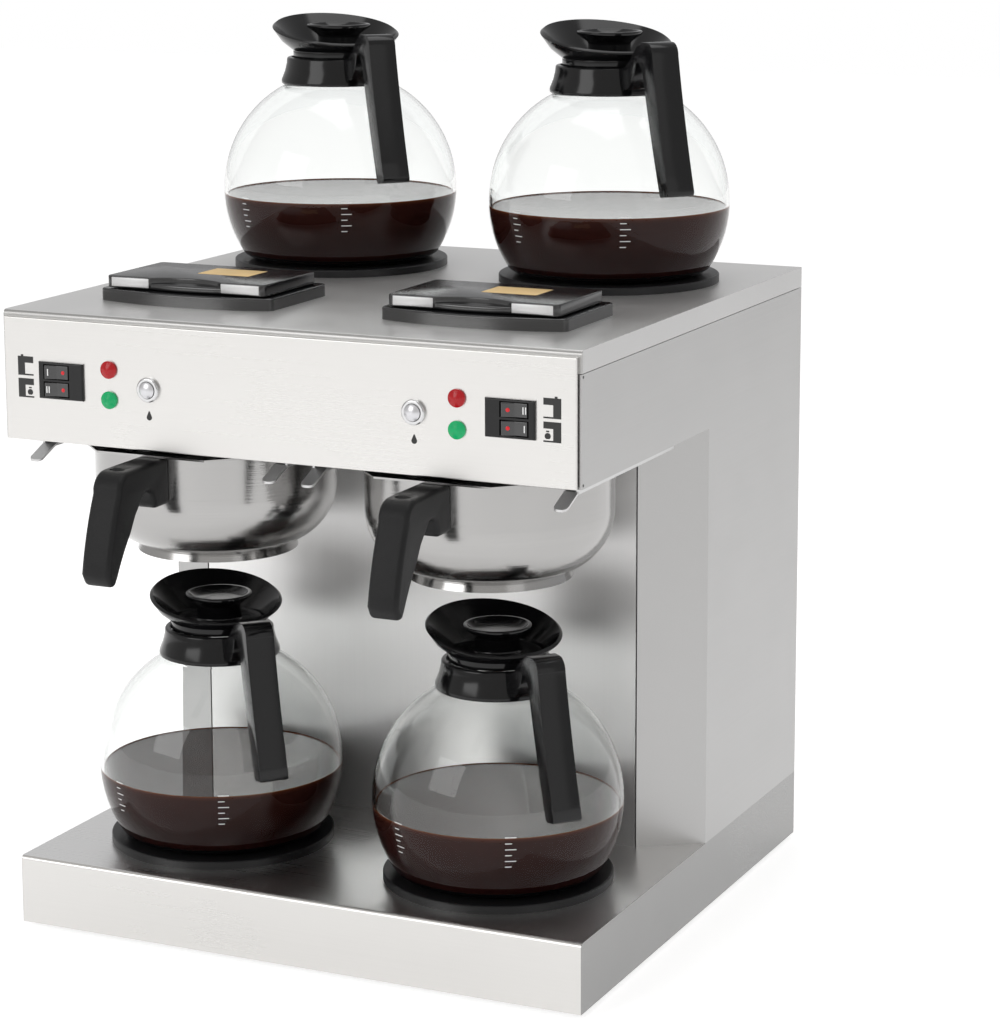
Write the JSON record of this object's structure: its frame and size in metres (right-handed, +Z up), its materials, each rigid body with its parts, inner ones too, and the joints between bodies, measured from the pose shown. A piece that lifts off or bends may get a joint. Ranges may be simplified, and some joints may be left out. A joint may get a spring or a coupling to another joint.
{
  "type": "commercial coffee brewer",
  "caption": "Steel pour-over coffee brewer with side-by-side stations, slide-in brew baskets, round warming plates and glass decanters.",
  "frame": {"origin": "on the table under the middle of the outer box", "axes": "+X to the operator's right, +Y to the back, +Z up"},
  "size_m": [0.406, 0.48, 0.5919],
  "materials": {
    "bright_brushed_steel": "bright brushed stainless steel, horizontal grain",
    "brushed_steel": "brushed stainless steel",
    "plain_steel": "mill finish stainless steel",
    "inner_steel": "plain stainless steel",
    "spun_steel": "spun stainless steel, brushed round the axis",
    "wire_steel": "electropolished wire",
    "fitting_metal": "zinc plated steel",
    "inlet_brass": "machined brass",
    "element_aluminium": "cast aluminium",
    "warmer_black": "satin black non-stick coating",
    "fill_black": "gloss black moulding",
    "switch_black": "fine-textured black moulding",
    "rocker_black": "polished black moulding",
    "handle_black": "grained black moulding",
    "decanter_black": "gloss black moulding",
    "gland_black": "black nylon",
    "rubber": "black rubber",
    "decanter_glass": "clear blown glass",
    "red_lens": "translucent red lens",
    "green_lens": "translucent green lens",
    "bezel_chrome": "polished chrome",
    "button_silver": "silver metallised plastic",
    "board_green": "printed circuit laminate and relays"
  },
  "bodies": {
    "machine": {"base_shell": "bright_brushed_steel", "base_bottom_plate": "plain_steel", "rubber_feet": "rubber", "backsplash_panel": "brushed_steel", "column_cover_left": "brushed_steel", "column_cover_right": "brushed_steel", "rear_cover": "plain_steel", "hood_side_left": "brushed_steel", "hood_side_right": "brushed_steel", "hood_underside": "plain_steel", "hood_front_panel": "bright_brushed_steel", "top_cover": "brushed_steel", "warmer_plate_lower_left": "warmer_black", "warmer_plate_lower_right": "warmer_black", "warmer_plate_upper_left": "warmer_black", "warmer_plate_upper_right": "warmer_black", "warmer_elements": "element_aluminium", "guide_rails_left": "plain_steel", "guide_rails_right": "plain_steel", "fill_frame_left": "fill_black", "fill_frame_right": "fill_black", "fill_hinge_pins": "fitting_metal", "switch_housings": "switch_black", "red_lamps": "red_lens", "green_lamps": "green_lens", "button_bezels": "bezel_chrome", "water_tanks": "inner_steel", "tank_heaters": "inner_steel", "water_tubes": "inner_steel", "spray_heads": "inner_steel", "inlet_valve": "inlet_brass", "cable_gland": "gland_black", "control_board": "board_green", "rear_cover_screws": "fitting_metal"},
    "fill_lid_left": {"fill_lid_left": "fill_black"},
    "rocker_left_lower": {"rocker_left_lower": "rocker_black"},
    "rocker_left_upper": {"rocker_left_upper": "rocker_black"},
    "autofill_button_left": {"autofill_button_left": "button_silver"},
    "brew_basket_left": {"basket_bowl_left": "spun_steel", "basket_handle_left": "handle_black", "basket_rack_left": "wire_steel"},
    "fill_lid_right": {"fill_lid_right": "fill_black"},
    "rocker_right_lower": {"rocker_right_lower": "rocker_black"},
    "rocker_right_upper": {"rocker_right_upper": "rocker_black"},
    "autofill_button_right": {"autofill_button_right": "button_silver"},
    "brew_basket_right": {"basket_bowl_right": "spun_steel", "basket_handle_right": "handle_black", "basket_rack_right": "wire_steel"},
    "decanter_lower_left": {"decanter_glass_lower_left": "decanter_glass", "decanter_handle_lower_left": "decanter_black"},
    "decanter_lid_lower_left": {"decanter_lid_lower_left": "decanter_black"},
    "decanter_lower_right": {"decanter_glass_lower_right": "decanter_glass", "decanter_handle_lower_right": "decanter_black"},
    "decanter_lid_lower_right": {"decanter_lid_lower_right": "decanter_black"},
    "decanter_upper_left": {"decanter_glass_upper_left": "decanter_glass", "decanter_handle_upper_left": "decanter_black"},
    "decanter_lid_upper_left": {"decanter_lid_upper_left": "decanter_black"},
    "decanter_upper_right": {"decanter_glass_upper_right": "decanter_glass", "decanter_handle_upper_right": "decanter_black"},
    "decanter_lid_upper_right": {"decanter_lid_upper_right": "decanter_black"}
  },
  "joints": [
    {"name": "fill_lid_left_hinge", "type": "hinge", "parent": "machine", "child": "fill_lid_left", "pos_m": [-0.103, -0.045, 0.429], "axis": [-1, 0, 0], "range_deg": [0, 95]},
    {"name": "rocker_left_lower_tilt", "type": "hinge", "parent": "machine", "child": "rocker_left_lower", "pos_m": [-0.161, -0.1807, 0.3689], "axis": [0, 0, -1], "range_deg": [0, 14]},
    {"name": "rocker_left_upper_tilt", "type": "hinge", "parent": "machine", "child": "rocker_left_upper", "pos_m": [-0.161, -0.1807, 0.3801], "axis": [0, 0, -1], "range_deg": [0, 14]},
    {"name": "autofill_button_left_press", "type": "slide", "parent": "machine", "child": "autofill_button_left", "axis": [0, 1, 0], "range_m": [0, 0.003], "stiffness_N_per_m": 400},
    {"name": "brew_basket_left_slide", "type": "slide", "parent": "machine", "child": "brew_basket_left", "axis": [0, -1, 0], "range_m": [0, 0.19]},
    {"name": "fill_lid_right_hinge", "type": "hinge", "parent": "machine", "child": "fill_lid_right", "pos_m": [0.103, -0.045, 0.429], "axis": [-1, 0, 0], "range_deg": [0, 95]},
    {"name": "rocker_right_lower_tilt", "type": "hinge", "parent": "machine", "child": "rocker_right_lower", "pos_m": [0.161, -0.1807, 0.3689], "axis": [0, 0, -1], "range_deg": [0, 14]},
    {"name": "rocker_right_upper_tilt", "type": "hinge", "parent": "machine", "child": "rocker_right_upper", "pos_m": [0.161, -0.1807, 0.3801], "axis": [0, 0, -1], "range_deg": [0, 14]},
    {"name": "autofill_button_right_press", "type": "slide", "parent": "machine", "child": "autofill_button_right", "axis": [0, 1, 0], "range_m": [0, 0.003], "stiffness_N_per_m": 400},
    {"name": "brew_basket_right_slide", "type": "slide", "parent": "machine", "child": "brew_basket_right", "axis": [0, -1, 0], "range_m": [0, 0.19]},
    {"name": "decanter_lower_left_pull", "type": "slide", "parent": "machine", "child": "decanter_lower_left", "axis": [0, -1, 0], "range_m": [0, 0.195]},
    {"name": "decanter_lid_lower_left_lift", "type": "slide", "parent": "decanter_lower_left", "child": "decanter_lid_lower_left", "axis": [0, 0, 1], "range_m": [0, 0.02]},
    {"name": "decanter_lower_right_pull", "type": "slide", "parent": "machine", "child": "decanter_lower_right", "axis": [0, -1, 0], "range_m": [0, 0.195]},
    {"name": "decanter_lid_lower_right_lift", "type": "slide", "parent": "decanter_lower_right", "child": "decanter_lid_lower_right", "axis": [0, 0, 1], "range_m": [0, 0.02]},
    {"name": "decanter_upper_left_lift", "type": "slide", "parent": "machine", "child": "decanter_upper_left", "axis": [0, 0, 1], "range_m": [0, 0.12]},
    {"name": "decanter_lid_upper_left_lift", "type": "slide", "parent": "decanter_upper_left", "child": "decanter_lid_upper_left", "axis": [0, 0, 1], "range_m": [0, 0.06]},
    {"name": "decanter_upper_right_lift", "type": "slide", "parent": "machine", "child": "decanter_upper_right", "axis": [0, 0, 1], "range_m": [0, 0.12]},
    {"name": "decanter_lid_upper_right_lift", "type": "slide", "parent": "decanter_upper_right", "child": "decanter_lid_upper_right", "axis": [0, 0, 1], "range_m": [0, 0.06]}
  ]
}
